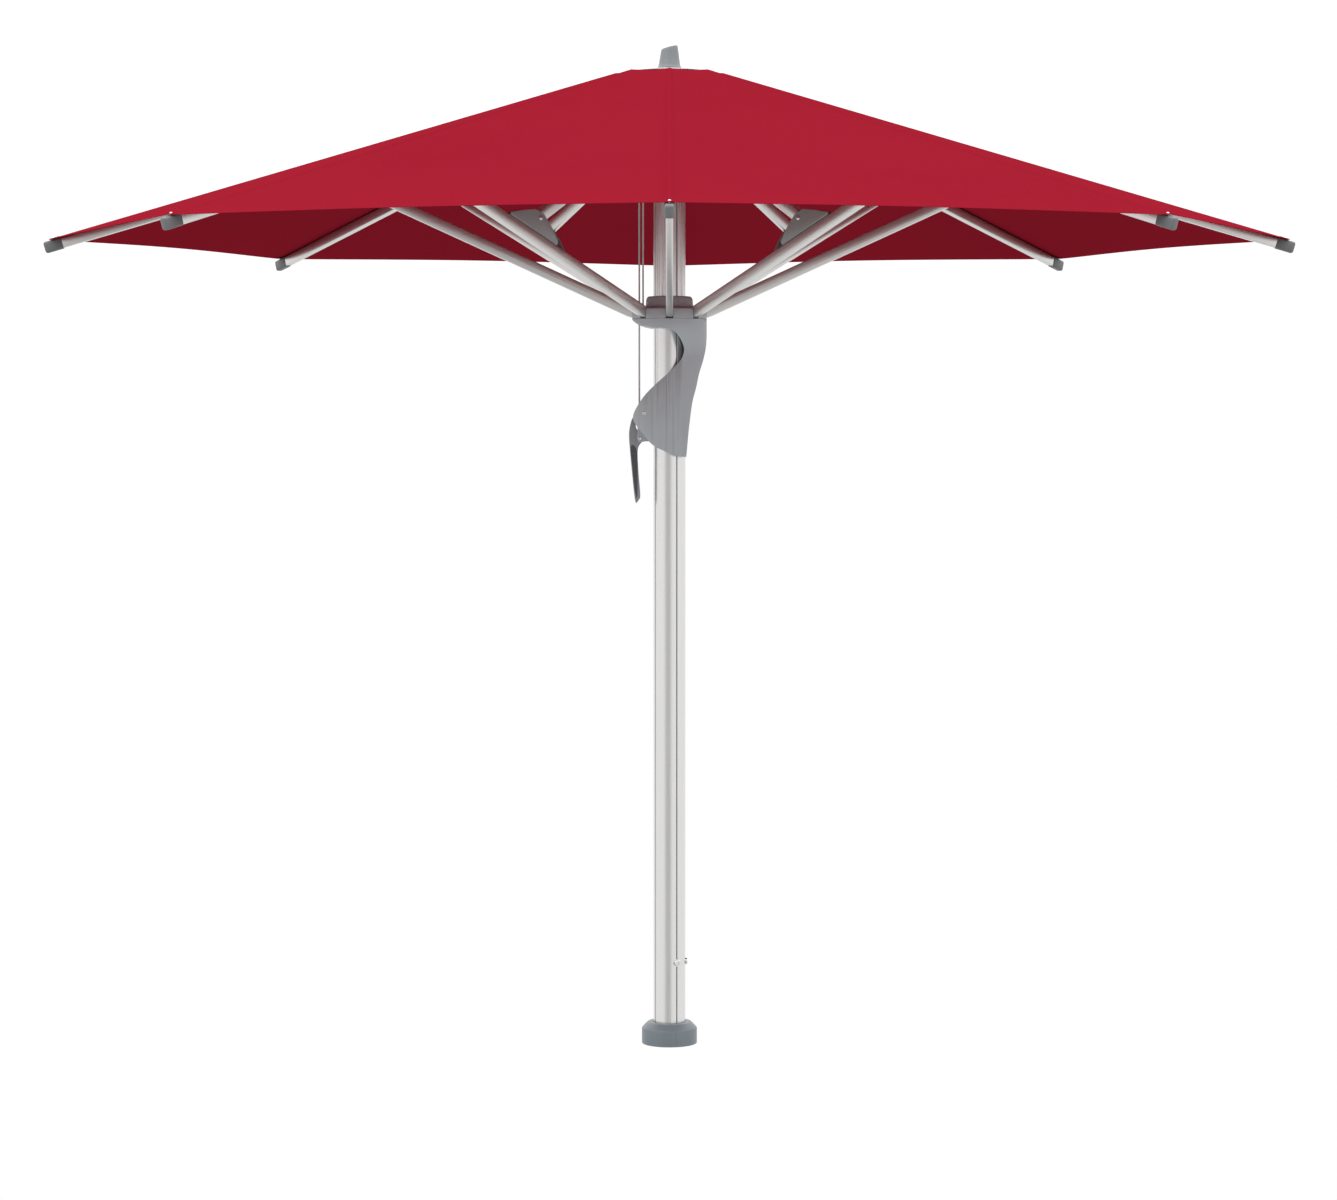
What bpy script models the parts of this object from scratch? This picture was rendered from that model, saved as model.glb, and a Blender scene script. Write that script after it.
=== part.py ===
"""A centre-pole patio umbrella: eight ribs and struts, a slider with a hand lever, and a collar base.

Metres, +Z up. The origin is on the mast's axis, at the underside of the base collar.
Each rib arm is drawn in its own radial frame (X outwards, Y along the rim, Z up) and then turned into place.
"""

import math

import bmesh
import bpy
from mathutils import Matrix

GAP = 0.0003

# canopy and ribs
TIP_RADIUS = 1.75
CROWN_RADIUS = 0.148
CROWN_TOP = 2.732
RIB_SLOPE = 0.2915
RIB_DROP = 0.0200
FABRIC = 0.002
PANEL_HALF = math.radians(22.5)
RIB_WIDTH, RIB_DEPTH = 0.021, 0.029
STRUT_WIDTH, STRUT_DEPTH = 0.020, 0.032
LINK_WIDTH, LINK_DEPTH = 0.018, 0.034
WALL = 0.0016

# pivots in the radial frame, as (radius, height)
CROWN_PIVOT = (0.135, 2.714)
RIB_PIVOT = (0.939, 2.447)
SLIDER_PIVOT = (0.093, 2.060)
BRACKET_PIVOT = (0.504, 2.309)
RUNNER_PIVOT = (0.075, 2.570)

# mast, base and slider
MAST_RADIUS, MAST_BORE = 0.045, 0.0415
MAST_BOTTOM, MAST_TOP = 0.0066, 2.684
COLLAR_RADIUS, COLLAR_HEIGHT, COLLAR_CHAMFER = 0.078, 0.062, 0.018
FLANGE_THICKNESS = 0.006
STAND_RADIUS, STAND_HEIGHT = 0.0410, 0.320
BOLT_HEIGHT = 0.234
HUB_RADIUS, HUB_BOTTOM, HUB_TOP = 0.105, 2.024, 2.076
HOUSING_HALF = 0.058
HOUSING_BORE = 0.0475
LEVER_PIVOT = (-0.083, 1.712)

# lift rope, between two strut directions
ROPE_AZIMUTH, ROPE_RADIUS = 67.5, 0.0025
PULLEY_PIVOT, ROPE_SPACING = (0.0855, 2.700), 0.014

DIRECTIONS = (
    "front", "front_left", "left", "back_left",
    "back", "back_right", "right", "front_right",
)  # fmt: skip
DIAGONALS = (1, 3, 5, 7)

COLOURS = {
    "fabric": ((0.40, 0.018, 0.034), 0.85, 0.0),
    "aluminium": ((0.62, 0.63, 0.64), 0.32, 1.0),
    "grey_plastic": ((0.29, 0.31, 0.33), 0.45, 0.0),
    "dark_plastic": ((0.06, 0.065, 0.07), 0.5, 0.0),
    "pale_plastic": ((0.55, 0.56, 0.56), 0.45, 0.0),
    "rope": ((0.55, 0.54, 0.50), 0.9, 0.0),
    "steel": ((0.55, 0.55, 0.56), 0.3, 1.0),
    "rubber": ((0.03, 0.03, 0.03), 0.8, 0.0),
}


def material(name):
    found = bpy.data.materials.get(name)
    if found:
        return found
    colour, roughness, metallic = COLOURS[name]
    made = bpy.data.materials.new(name)
    made.use_nodes = True
    shader = made.node_tree.nodes["Principled BSDF"]
    shader.inputs["Base Color"].default_value = (*colour, 1)
    shader.inputs["Roughness"].default_value = roughness
    shader.inputs["Metallic"].default_value = metallic
    return made


def solid_from(bm):
    bmesh.ops.recalc_face_normals(bm, faces=bm.faces)
    mesh = bpy.data.meshes.new("solid")
    bm.to_mesh(mesh)
    bm.free()
    made = bpy.data.objects.new("solid", mesh)
    bpy.context.scene.collection.objects.link(made)
    return made


def prism(outline, low, high):
    """An outline of (x, z) points, drawn out along Y from low to high."""
    bm = bmesh.new()
    near = [bm.verts.new((x, low, z)) for x, z in outline]
    far = [bm.verts.new((x, high, z)) for x, z in outline]
    bm.faces.new(near)
    bm.faces.new(far[::-1])
    for i in range(len(outline)):
        j = (i + 1) % len(outline)
        bm.faces.new((near[i], far[i], far[j], near[j]))
    return solid_from(bm)


def block(x_low, x_high, y_low, y_high, z_low, z_high):
    return prism([(x_low, z_low), (x_high, z_low), (x_high, z_high), (x_low, z_high)], y_low, y_high)


def turned(profile, steps=32):
    """A solid turned about Z from a closed loop of (radius, height) points, none of them on the axis."""
    bm = bmesh.new()
    rings = []
    for i in range(steps):
        turn = 2 * math.pi * i / steps
        rings.append([bm.verts.new((r * math.cos(turn), r * math.sin(turn), z)) for r, z in profile])
    for i in range(steps):
        here, there = rings[i], rings[(i + 1) % steps]
        for j in range(len(profile)):
            k = (j + 1) % len(profile)
            bm.faces.new((here[j], there[j], there[k], here[k]))
    return solid_from(bm)


def rod(start, end, radius, steps=10):
    """A round rod between two (x, y, z) points that differ along one axis only."""
    run = [end[k] - start[k] for k in range(3)]
    length = sum(abs(v) for v in run)
    bm = bmesh.new()
    bmesh.ops.create_cone(
        bm, cap_ends=True, segments=steps, radius1=radius, radius2=radius, depth=length
    )
    if run[0]:
        bmesh.ops.rotate(bm, verts=bm.verts, matrix=Matrix.Rotation(math.pi / 2, 3, "Y"))
    elif run[1]:
        bmesh.ops.rotate(bm, verts=bm.verts, matrix=Matrix.Rotation(math.pi / 2, 3, "X"))
    middle = [(start[k] + end[k]) / 2 for k in range(3)]
    bmesh.ops.translate(bm, verts=bm.verts, vec=middle)
    return solid_from(bm)


def combined(operation, first, *others):
    for other in others:
        modifier = first.modifiers.new("combine", "BOOLEAN")
        modifier.operation = operation
        modifier.object = other
        bpy.context.view_layer.update()
        graph = bpy.context.evaluated_depsgraph_get()
        mesh = bpy.data.meshes.new_from_object(first.evaluated_get(graph))
        first.modifiers.clear()
        first.data = mesh
        bpy.data.objects.remove(other)
    return first


def union(first, *others):
    return combined("UNION", first, *others)


def cut(first, *others):
    return combined("DIFFERENCE", first, *others)


def turn_of(azimuth):
    """The turn about Z that carries +X to an azimuth, where 0 faces -Y and 90 faces -X."""
    return -math.radians(90 + azimuth)


def turned_to(azimuth, solid):
    solid.data.transform(Matrix.Rotation(turn_of(azimuth), 4, "Z"))
    return solid


def finished(name, solid, finish, origin=(0, 0, 0)):
    """Names a solid and puts its origin where it turns or slides."""
    solid.data.transform(Matrix.Translation([-v for v in origin]))
    solid.location = origin
    solid.name = name
    solid.data.name = name
    solid.data.materials.clear()
    solid.data.materials.append(material(finish))
    return solid


def repeated(stem, solid, finish, pivot, arms):
    """Copies a solid drawn in the radial frame to each arm, with its origin on its pivot."""
    solid.data.transform(Matrix.Translation((-pivot[0], 0, -pivot[1])))
    solid.data.materials.clear()
    solid.data.materials.append(material(finish))
    for arm in arms:
        turn = turn_of(45 * arm)
        copy = bpy.data.objects.new(f"{stem}_{DIRECTIONS[arm]}", solid.data)
        copy.location = (pivot[0] * math.cos(turn), pivot[0] * math.sin(turn), pivot[1])
        copy.rotation_euler.z = turn
        bpy.context.scene.collection.objects.link(copy)
    bpy.data.objects.remove(solid)


def fabric_top(radius):
    return CROWN_TOP - RIB_SLOPE * max(0.0, radius - CROWN_RADIUS)


def rib_axis(radius):
    return CROWN_TOP - RIB_DROP - RIB_SLOPE * (radius - CROWN_RADIUS)


def bar_outline(start, end, depth, end_radius, steps=6):
    """A bar in the radial frame: a deep middle, and a rounded end about each pivot."""
    along = (end[0] - start[0], end[1] - start[1])
    length = math.hypot(*along)
    ux, uz = along[0] / length, along[1] / length
    shoulder, neck = end_radius + 0.008, depth / 2

    def at(s, t):
        return (start[0] + s * ux - t * uz, start[1] + s * uz + t * ux)

    points = [at(shoulder, -neck), at(length - shoulder, -neck)]
    for i in range(steps + 1):
        turn = -math.pi / 2 + math.pi * i / steps
        points.append(at(length + end_radius * math.cos(turn), end_radius * math.sin(turn)))
    points += [at(length - shoulder, neck), at(shoulder, neck)]
    for i in range(steps + 1):
        turn = math.pi / 2 + math.pi * i / steps
        points.append(at(end_radius * math.cos(turn), end_radius * math.sin(turn)))
    return points, at, length


def hollow_bar(start, end, width, depth, end_radius):
    """A tube with solid rounded ends, and a drain hole in its lower wall."""
    outline, at, length = bar_outline(start, end, depth, end_radius)
    half, inner = depth / 2 - WALL, width / 2 - WALL
    first, last = end_radius + 0.016, length - end_radius - 0.016
    hollow = prism([at(first, -half), at(last, -half), at(last, half), at(first, half)], -inner, inner)
    drain = [at(first + 0.02, -depth), at(first + 0.026, -depth), at(first + 0.026, 0), at(first + 0.02, 0)]
    return cut(prism(outline, -width / 2, width / 2), hollow, prism(drain, -0.003, 0.003))


def cross_rod(pivot, half_length, radius):
    return rod((pivot[0], -half_length, pivot[1]), (pivot[0], half_length, pivot[1]), radius)


def make_ribs():
    slope = math.atan(RIB_SLOPE)
    ux, uz = math.cos(slope), -math.sin(slope)

    def at(radius, offset):
        return (radius - offset * uz, rib_axis(radius) + offset * ux)

    def strip(low, high, half):
        return [at(low, -half), at(high, -half), at(high, half), at(low, half)]

    start, tip, half = 0.160, TIP_RADIUS - 0.006, RIB_DEPTH / 2
    tube = prism(strip(start, tip, half), -RIB_WIDTH / 2, RIB_WIDTH / 2)
    bore = RIB_WIDTH / 2 - WALL
    tube = cut(tube, prism(strip(start + 0.020, tip + 0.01, half - WALL), -bore, bore))
    tongue = prism(strip(CROWN_PIVOT[0] - 0.0095, start + 0.01, 0.0095), -0.006, 0.006)
    rib = union(tube, tongue, cross_rod(CROWN_PIVOT, 0.0158, 0.0035))
    x, z = RIB_PIVOT
    top = rib_axis(x)
    for low, high in ((0.0103, 0.013), (-0.013, -0.0103)):
        lug = [(x - 0.012, z - 0.009), (x + 0.012, z - 0.009), (x + 0.018, top + 0.004), (x - 0.018, top + 0.004)]
        rib = union(rib, prism(lug, low, high))
    rib = union(rib, cross_rod(RIB_PIVOT, 0.0150, 0.0035))
    repeated("rib", rib, "aluminium", RIB_PIVOT, range(8))

    outer = prism(strip(TIP_RADIUS - 0.053, TIP_RADIUS, 0.0165), -0.0120, 0.0120)
    socket = RIB_WIDTH / 2 + GAP
    cap = cut(outer, prism(strip(TIP_RADIUS - 0.06, tip + GAP, half + GAP), -socket, socket))
    knob_x = TIP_RADIUS - 0.024
    knob_z = rib_axis(knob_x) + 0.0170
    cap = union(cap, rod((knob_x, 0, knob_z), (knob_x, 0, knob_z + 0.008), 0.004))
    repeated("tip_cap", cap, "dark_plastic", RIB_PIVOT, range(8))


def make_canopy():
    """A panel about each rib: half of the gore on either side, straight from rib to rib."""
    rows = (0.106, CROWN_RADIUS, 0.9, TIP_RADIUS - 0.055)
    last = (TIP_RADIUS - 0.018, TIP_RADIUS - 0.018)
    bm = bmesh.new()

    def point(radius, along, side):
        x = radius - along * math.sin(PANEL_HALF)
        y = side * max(0.0, along * math.cos(PANEL_HALF))
        return (x, y, fabric_top(radius))

    def row(radii):
        """Across the panel: seam, beside the rib, rib, beside the rib, seam."""
        made = []
        for side in (-1, 1):
            pair = [
                point(radii[1], radii[1] * math.sin(PANEL_HALF) - GAP, side),
                point(radii[0], 0.0146, side),
            ]
            made.append(pair if side < 0 else pair[::-1])
        return made[0] + [point(radii[0], 0, 1)] + made[1]

    grid = [row((radius, radius)) for radius in rows]
    top = [[bm.verts.new(p) for p in points] for points in grid]
    low = [[bm.verts.new((p[0], p[1], p[2] - FABRIC)) for p in points] for points in grid]
    ends = []
    for side in (-1, 1):
        pair = [point(last[0], last[0] * math.sin(PANEL_HALF) - GAP, side), point(last[1], 0.0146, side)]
        ends.append(pair if side < 0 else pair[::-1])
    for sheet, drop in ((top, 0), (low, FABRIC)):
        left = [bm.verts.new((p[0], p[1], p[2] - drop)) for p in ends[0]]
        right = [bm.verts.new((p[0], p[1], p[2] - drop)) for p in ends[1]]
        sheet.append(left + [None] + right)
    for sheet in (top, low):
        for i in range(len(grid)):
            for j in range(4):
                corners = (sheet[i][j], sheet[i][j + 1], sheet[i + 1][j + 1], sheet[i + 1][j])
                if None not in corners:
                    bm.faces.new(corners)
    twin = {t: l for ts, ls in zip(top, low) for t, l in zip(ts, ls) if t is not None}
    for edge in [e for e in bm.edges if e.is_boundary and e.verts[0] in twin and e.verts[1] in twin]:
        a, b = edge.verts
        bm.faces.new((a, b, twin[b], twin[a]))
    repeated("canopy_panel", solid_from(bm), "fabric", RIB_PIVOT, range(8))


def make_struts():
    strut = hollow_bar(SLIDER_PIVOT, RIB_PIVOT, STRUT_WIDTH, STRUT_DEPTH, 0.0135)
    strut = cut(strut, cross_rod(RIB_PIVOT, 0.03, 0.0041))
    strut = union(strut, cross_rod(SLIDER_PIVOT, 0.0175, 0.003))
    repeated("strut", strut, "aluminium", SLIDER_PIVOT, range(8))

    dx, dz = RIB_PIVOT[0] - SLIDER_PIVOT[0], RIB_PIVOT[1] - SLIDER_PIVOT[1]
    length = math.hypot(dx, dz)
    ux, uz = dx / length, dz / length

    def on_strut(along, above):
        return (SLIDER_PIVOT[0] + along * ux - above * uz, SLIDER_PIVOT[1] + along * uz + above * ux)

    base = STRUT_DEPTH / 2 + GAP
    outline = [(0.398, base), (0.577, base), (0.577, 0.024), (0.494, 0.072), (0.470, 0.072), (0.420, 0.050), (0.392, 0.032)]
    cheek = [on_strut(*p) for p in outline]
    web = [on_strut(*p) for p in ((0.400, base), (0.576, base), (0.576, base + 0.003), (0.400, base + 0.003))]
    bracket = union(prism(web, -0.012, 0.012), prism(cheek, 0.0097, 0.0122), prism(cheek, -0.0122, -0.0097))
    bracket = union(bracket, cross_rod(BRACKET_PIVOT, 0.0145, 0.004))
    repeated("strut_bracket", bracket, "grey_plastic", SLIDER_PIVOT, DIAGONALS)

    link = hollow_bar(BRACKET_PIVOT, RUNNER_PIVOT, LINK_WIDTH, LINK_DEPTH, 0.0150)
    link = cut(link, cross_rod(BRACKET_PIVOT, 0.03, 0.0046))
    link = union(link, cross_rod(RUNNER_PIVOT, 0.0140, 0.003))
    repeated("link", link, "aluminium", BRACKET_PIVOT, DIAGONALS)


def make_upper_runner():
    bore, ring = MAST_RADIUS + 0.0008, 0.058
    x, z = RUNNER_PIVOT
    runner = turned([(bore, z - 0.030), (ring, z - 0.030), (ring, z + 0.020), (bore, z + 0.020)])
    for arm in DIAGONALS:
        for side in (-1, 1):
            edge = sorted((side * 0.0097, side * 0.0145))
            cheek = prism([(0.052, z - 0.028), (x + 0.010, z - 0.010), (x + 0.010, z + 0.006), (0.052, z + 0.006)], *edge)
            cheek = cut(cheek, block(x - 0.004, x + 0.004, -0.02, 0.02, z - 0.004, z + 0.02))
            runner = union(runner, turned_to(45 * arm, cheek))
    finished("upper_runner", runner, "grey_plastic", (0, 0, z))


def make_crown():
    top = CROWN_TOP - FABRIC - 0.002
    spigot = MAST_BORE - 0.0008
    foot, floor = MAST_TOP - 0.060, MAST_TOP + 0.022
    profile = [
        (0.020, foot), (spigot, foot), (spigot, MAST_TOP + GAP), (0.062, MAST_TOP + GAP),
        (0.062, floor - 0.006), (0.117, floor), (0.117, top), (0.020, top),
    ]  # fmt: skip
    hub = turned(profile, 32)
    x, z = CROWN_PIVOT
    for arm in range(8):
        for side in (-1, 1):
            edge = sorted((side * 0.0112, side * 0.0165))
            cheek = block(0.108, x + 0.0130, edge[0], edge[1], floor + 0.0005, top - 0.001)
            cheek = cut(cheek, block(x - 0.0043, x + 0.0043, -0.02, 0.02, z - 0.0040, top + 0.01))
            hub = union(hub, turned_to(45 * arm, cheek))
    px, pz = PULLEY_PIVOT
    pocket = block(0.0705, 0.1005, -0.0190, 0.0190, MAST_TOP - 0.010, pz + 0.0188)
    hub = cut(hub, turned_to(ROPE_AZIMUTH, pocket))
    lobe = union(
        block(0.0600, 0.0712, -0.006, 0.006, pz - 0.008, floor + 0.008),
        block(0.0998, 0.1120, -0.006, 0.006, pz - 0.008, floor + 0.008),
        rod((0.065, 0, pz), (0.106, 0, pz), 0.0025),
    )
    finished("crown_hub", union(hub, turned_to(ROPE_AZIMUTH, lobe)), "dark_plastic")

    wheel = [
        (0.0032, -0.0055), (0.0155, -0.0055), (0.0155, -0.0042), (0.0110, -0.0031),
        (0.0110, 0.0031), (0.0155, 0.0042), (0.0155, 0.0055), (0.0032, 0.0055),
    ]  # fmt: skip
    pulley = turned(wheel, 24)
    pulley.data.transform(Matrix.Rotation(math.pi / 2, 4, "Y"))
    pulley.data.transform(Matrix.Translation((px, 0, pz)))
    turn = turn_of(ROPE_AZIMUTH)
    origin = (px * math.cos(turn), px * math.sin(turn), pz)
    finished("crown_pulley", turned_to(ROPE_AZIMUTH, pulley), "dark_plastic", origin)

    base = CROWN_TOP + GAP
    plate = turned([(0.010, base), (0.113, base), (0.113, base + 0.003), (0.060, base + 0.010), (0.010, base + 0.011)], 32)
    finished("crown_plate", plate, "pale_plastic")
    foot = base + 0.011 + GAP
    bm = bmesh.new()
    bmesh.ops.create_cone(bm, cap_ends=True, segments=32, radius1=0.033, radius2=0.023, depth=0.060)
    bmesh.ops.translate(bm, verts=bm.verts, vec=(0, 0, foot + 0.030))
    for v in bm.verts:
        if v.co.z > foot + 0.03:
            v.co.z += 0.26 * v.co.x
    finial = union(solid_from(bm), rod((0, 0, foot - 0.010), (0, 0, foot + 0.002), 0.0090))
    finished("finial", finial, "grey_plastic")


def make_mast_and_base():
    mast = turned([(MAST_BORE, MAST_BOTTOM), (MAST_RADIUS, MAST_BOTTOM), (MAST_RADIUS, MAST_TOP), (MAST_BORE, MAST_TOP)], 32)
    for azimuth in (-28, 62, 152, -118):
        groove = block(MAST_RADIUS - 0.0014, MAST_RADIUS + 0.01, -0.0018, 0.0018, -1, 3)
        mast = cut(mast, turned_to(azimuth, groove))
    for azimuth in (-28, -90):
        hole = rod((0.02, 0, BOLT_HEIGHT), (0.06, 0, BOLT_HEIGHT), 0.0052)
        mast = cut(mast, turned_to(azimuth, hole))
    finished("mast_tube", mast, "aluminium")

    bore = STAND_RADIUS - 0.003
    stand = turned([(bore, 0), (0.0740, 0), (0.0740, FLANGE_THICKNESS), (STAND_RADIUS, FLANGE_THICKNESS), (STAND_RADIUS, STAND_HEIGHT), (bore, STAND_HEIGHT)], 32)
    for azimuth in (-28, -90):
        hole = rod((0.02, 0, BOLT_HEIGHT), (0.06, 0, BOLT_HEIGHT), 0.0048)
        stand = cut(stand, turned_to(azimuth, hole))
    finished("stand_tube", stand, "steel")
    for name, azimuth in (("mast_bolt_front", -28), ("mast_bolt_side", -90)):
        shank = rod((0.030, 0, BOLT_HEIGHT), (0.047, 0, BOLT_HEIGHT), 0.0042)
        head = rod((MAST_RADIUS + 0.0005, 0, BOLT_HEIGHT), (MAST_RADIUS + 0.0055, 0, BOLT_HEIGHT), 0.0090, 16)
        finished(name, turned_to(azimuth, union(shank, head)), "steel")

    top, shoulder = COLLAR_HEIGHT, COLLAR_HEIGHT - COLLAR_CHAMFER
    inner = MAST_RADIUS + 0.0006
    collar = turned([(0.0744, 0), (COLLAR_RADIUS, 0), (COLLAR_RADIUS, shoulder), (0.060, top), (inner, top), (inner, top - 0.006), (0.058, top - 0.006), (0.0744, shoulder - 0.004)], 32)
    finished("base_collar", collar, "grey_plastic")


def make_slider():
    bore = MAST_RADIUS + 0.0038
    profile = [
        (bore, HUB_BOTTOM), (0.060, HUB_BOTTOM), (HUB_RADIUS, HUB_BOTTOM + 0.022), (HUB_RADIUS, HUB_TOP - 0.004),
        (0.098, HUB_TOP), (0.066, HUB_TOP + 0.004), (0.066, HUB_TOP + 0.034), (bore, HUB_TOP + 0.034),
    ]  # fmt: skip
    hub = turned(profile, 32)
    x, z = SLIDER_PIVOT
    for arm in range(8):
        slot = block(x - 0.0150, 0.14, -0.01075, 0.01075, HUB_BOTTOM - 0.01, HUB_TOP + 0.03)
        hole = cross_rod(SLIDER_PIVOT, 0.0185, 0.0036)
        hub = cut(hub, turned_to(45 * arm, slot), turned_to(45 * arm, hole))
    guide = rod((0.0855, -0.014, 2.0), (0.0855, -0.014, 2.12), 0.0042)
    finished("slider_hub", cut(hub, turned_to(ROPE_AZIMUTH, guide)), "grey_plastic")
    low, high = HUB_BOTTOM + 0.002, HUB_TOP + 0.032
    bush = turned([(MAST_RADIUS + 0.0006, low), (bore - GAP, low), (bore - GAP, high), (MAST_RADIUS + 0.0006, high)])
    finished("glide_bush", bush, "dark_plastic")

    top = HUB_BOTTOM - GAP
    outline = [
        (-0.004, top), (0.0210, 2.003), (0.0394, 1.972), (0.0408, 1.958), (0.0366, 1.941), (0.0183, 1.917),
        (-0.0042, 1.893), (-0.0436, 1.861), (-0.0746, 1.826), (-0.0999, 1.783), (-0.1033, 1.769), (-0.0914, 1.747),
        (-0.0718, 1.7215), (-0.0605, 1.7074), (-0.0380, 1.6877), (-0.0127, 1.6765), (0.0183, 1.6624),
        (0.0473, 1.6607), (0.0537, 1.7327), (0.0633, 1.8087), (0.0746, 1.8537), (0.0830, 1.893),
        (0.0943, 1.930), (0.1027, 1.972), (0.1047, top),
    ]  # fmt: skip
    housing = prism(outline, -HOUSING_HALF, HOUSING_HALF)
    round_form = turned([(0.001, 1.6), (0.106, 1.6), (0.106, 2.1), (0.001, 2.1)], 32)
    housing = combined("INTERSECT", housing, round_form)
    column = rod((0, 0, 1.5), (0, 0, 2.2), HOUSING_BORE, 32)
    housing = cut(housing, column)
    slot = block(-0.12, -0.0620, -0.0106, 0.0106, 1.690, 1.800)
    channel = block(-0.070, -0.03, -0.0096, 0.0096, 1.7344, 1.7656)
    housing = cut(housing, slot, channel)
    px, pz = LEVER_PIVOT
    ear = [(px - 0.009, pz), (px, pz - 0.010), (px + 0.014, pz - 0.008), (-0.052, 1.704), (-0.052, 1.76), (-0.088, 1.76)]
    housing = union(housing, prism(ear, 0.0106, 0.0166), prism(ear, -0.0166, -0.0106))
    housing = cut(housing, cross_rod(LEVER_PIVOT, 0.03, 0.0033))
    rope_hole = rod((0.0855, -0.014, 1.788), (0.0855, -0.014, 1.90), 0.0036)
    housing = cut(housing, turned_to(ROPE_AZIMUTH, rope_hole))
    finished("slider_housing", housing, "grey_plastic")
    for name, x, z in (("housing_screw_upper", 0.0343, 2.0125), ("housing_screw_lower", -0.0703, 1.7834)):
        face = -HOUSING_HALF if abs(x) < 0.05 else -math.sqrt(0.106**2 - x**2)
        screw = rod((x, max(face, -HOUSING_HALF) - 0.003, z), (x, max(face, -HOUSING_HALF) - GAP, z), 0.006)
        finished(name, screw, "steel")
    finished("lever_pin", cross_rod(LEVER_PIVOT, 0.0195, 0.0028), "steel")

    lever_outline = [
        (-0.1041, 1.772), (-0.1115, 1.745), (-0.1134, 1.7187), (-0.1111, 1.6821), (-0.1055, 1.6202),
        (-0.0999, 1.564), (-0.0943, 1.5316), (-0.0810, 1.5542), (-0.0872, 1.6202), (-0.0880, 1.685),
        (-0.0750, 1.7040), (-0.0745, 1.7200), (-0.0930, 1.740), (-0.0960, 1.772),
    ]  # fmt: skip
    lever = cut(prism(lever_outline, -0.0100, 0.0100), cross_rod(LEVER_PIVOT, 0.03, 0.0033))
    finished("lever", lever, "pale_plastic", (px, 0, pz))

    shoe = block(-0.0640, -MAST_RADIUS - 0.0008, -0.009, 0.009, 1.735, 1.765)
    shoe = union(shoe, rod((-0.0880, 0, 1.750), (-0.060, 0, 1.750), 0.003))
    finished("brake_shoe", shoe, "rubber", (-0.0640, 0, 1.750))


def make_rope():
    """One rope: up from the housing, over the crown pulley, and down to the hub."""
    px, pz = PULLEY_PIVOT
    turn = turn_of(ROPE_AZIMUTH)
    points = [(-ROPE_SPACING, 1.792), (-ROPE_SPACING, 2.1), (-ROPE_SPACING, 2.4)]
    for i in range(13):
        bend = math.pi * i / 12
        points.append((-ROPE_SPACING * math.cos(bend), pz + ROPE_SPACING * math.sin(bend)))
    points += [(ROPE_SPACING, 2.4), (ROPE_SPACING, HUB_TOP + 0.006)]
    curve = bpy.data.curves.new("lift_rope", "CURVE")
    curve.dimensions = "3D"
    spline = curve.splines.new("POLY")
    spline.points.add(len(points) - 1)
    for place, (y, z) in zip(spline.points, points):
        x = px * math.cos(turn) - y * math.sin(turn)
        place.co = (x, px * math.sin(turn) + y * math.cos(turn), z, 1)
    curve.bevel_depth = ROPE_RADIUS
    curve.bevel_resolution = 2
    curve.use_fill_caps = True
    curve.materials.append(material("rope"))
    bpy.context.scene.collection.objects.link(bpy.data.objects.new("lift_rope", curve))


def main():
    for obj in list(bpy.data.objects):
        bpy.data.objects.remove(obj)
    make_mast_and_base()
    make_crown()
    make_slider()
    make_rope()
    make_upper_runner()
    make_ribs()
    make_struts()
    make_canopy()


main()
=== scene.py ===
import math

import bmesh
import bpy
from mathutils import Matrix, Vector


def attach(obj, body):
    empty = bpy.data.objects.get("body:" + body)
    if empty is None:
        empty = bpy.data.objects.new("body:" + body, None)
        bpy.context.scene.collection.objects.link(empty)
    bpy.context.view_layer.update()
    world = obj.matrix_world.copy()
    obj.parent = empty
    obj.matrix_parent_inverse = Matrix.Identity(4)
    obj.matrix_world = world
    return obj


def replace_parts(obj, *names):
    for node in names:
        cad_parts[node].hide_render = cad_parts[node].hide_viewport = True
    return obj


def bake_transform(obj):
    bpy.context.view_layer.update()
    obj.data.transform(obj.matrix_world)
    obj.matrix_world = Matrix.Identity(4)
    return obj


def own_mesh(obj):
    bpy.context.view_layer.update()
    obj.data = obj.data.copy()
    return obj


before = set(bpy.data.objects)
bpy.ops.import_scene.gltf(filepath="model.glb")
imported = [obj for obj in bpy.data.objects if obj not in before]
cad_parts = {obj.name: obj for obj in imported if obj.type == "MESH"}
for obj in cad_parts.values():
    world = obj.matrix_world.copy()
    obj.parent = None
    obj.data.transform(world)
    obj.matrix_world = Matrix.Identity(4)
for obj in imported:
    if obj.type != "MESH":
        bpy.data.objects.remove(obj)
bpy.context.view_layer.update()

DIRECTIONS = (
    "front", "front_left", "left", "back_left",
    "back", "back_right", "right", "front_right",
)
DIAGONALS = (1, 3, 5, 7)

# the CAD model's driving values: pivots are (radius, height) in an arm's radial frame
TIP_RADIUS = 1.75
CROWN_RADIUS, CROWN_TOP, RIB_SLOPE, RIB_DROP = 0.148, 2.732, 0.2915, 0.0200
PANEL_HALF = math.radians(22.5)
RIB_WIDTH, RIB_DEPTH = 0.021, 0.029
RIB_START, RIB_END = 0.160, TIP_RADIUS - 0.006
STRUT_WIDTH, STRUT_DEPTH, STRUT_END = 0.020, 0.032, 0.0135
LINK_WIDTH, LINK_DEPTH, LINK_END = 0.018, 0.034, 0.0150
CROWN_PIVOT = (0.135, 2.714)
RIB_PIVOT = (0.939, 2.447)
SLIDER_PIVOT = (0.093, 2.060)
BRACKET_PIVOT = (0.504, 2.309)
RUNNER_PIVOT = (0.075, 2.570)
LEVER_PIVOT = (-0.083, 1.712)
MAST_RADIUS, MAST_BORE = 0.045, 0.0415
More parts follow.
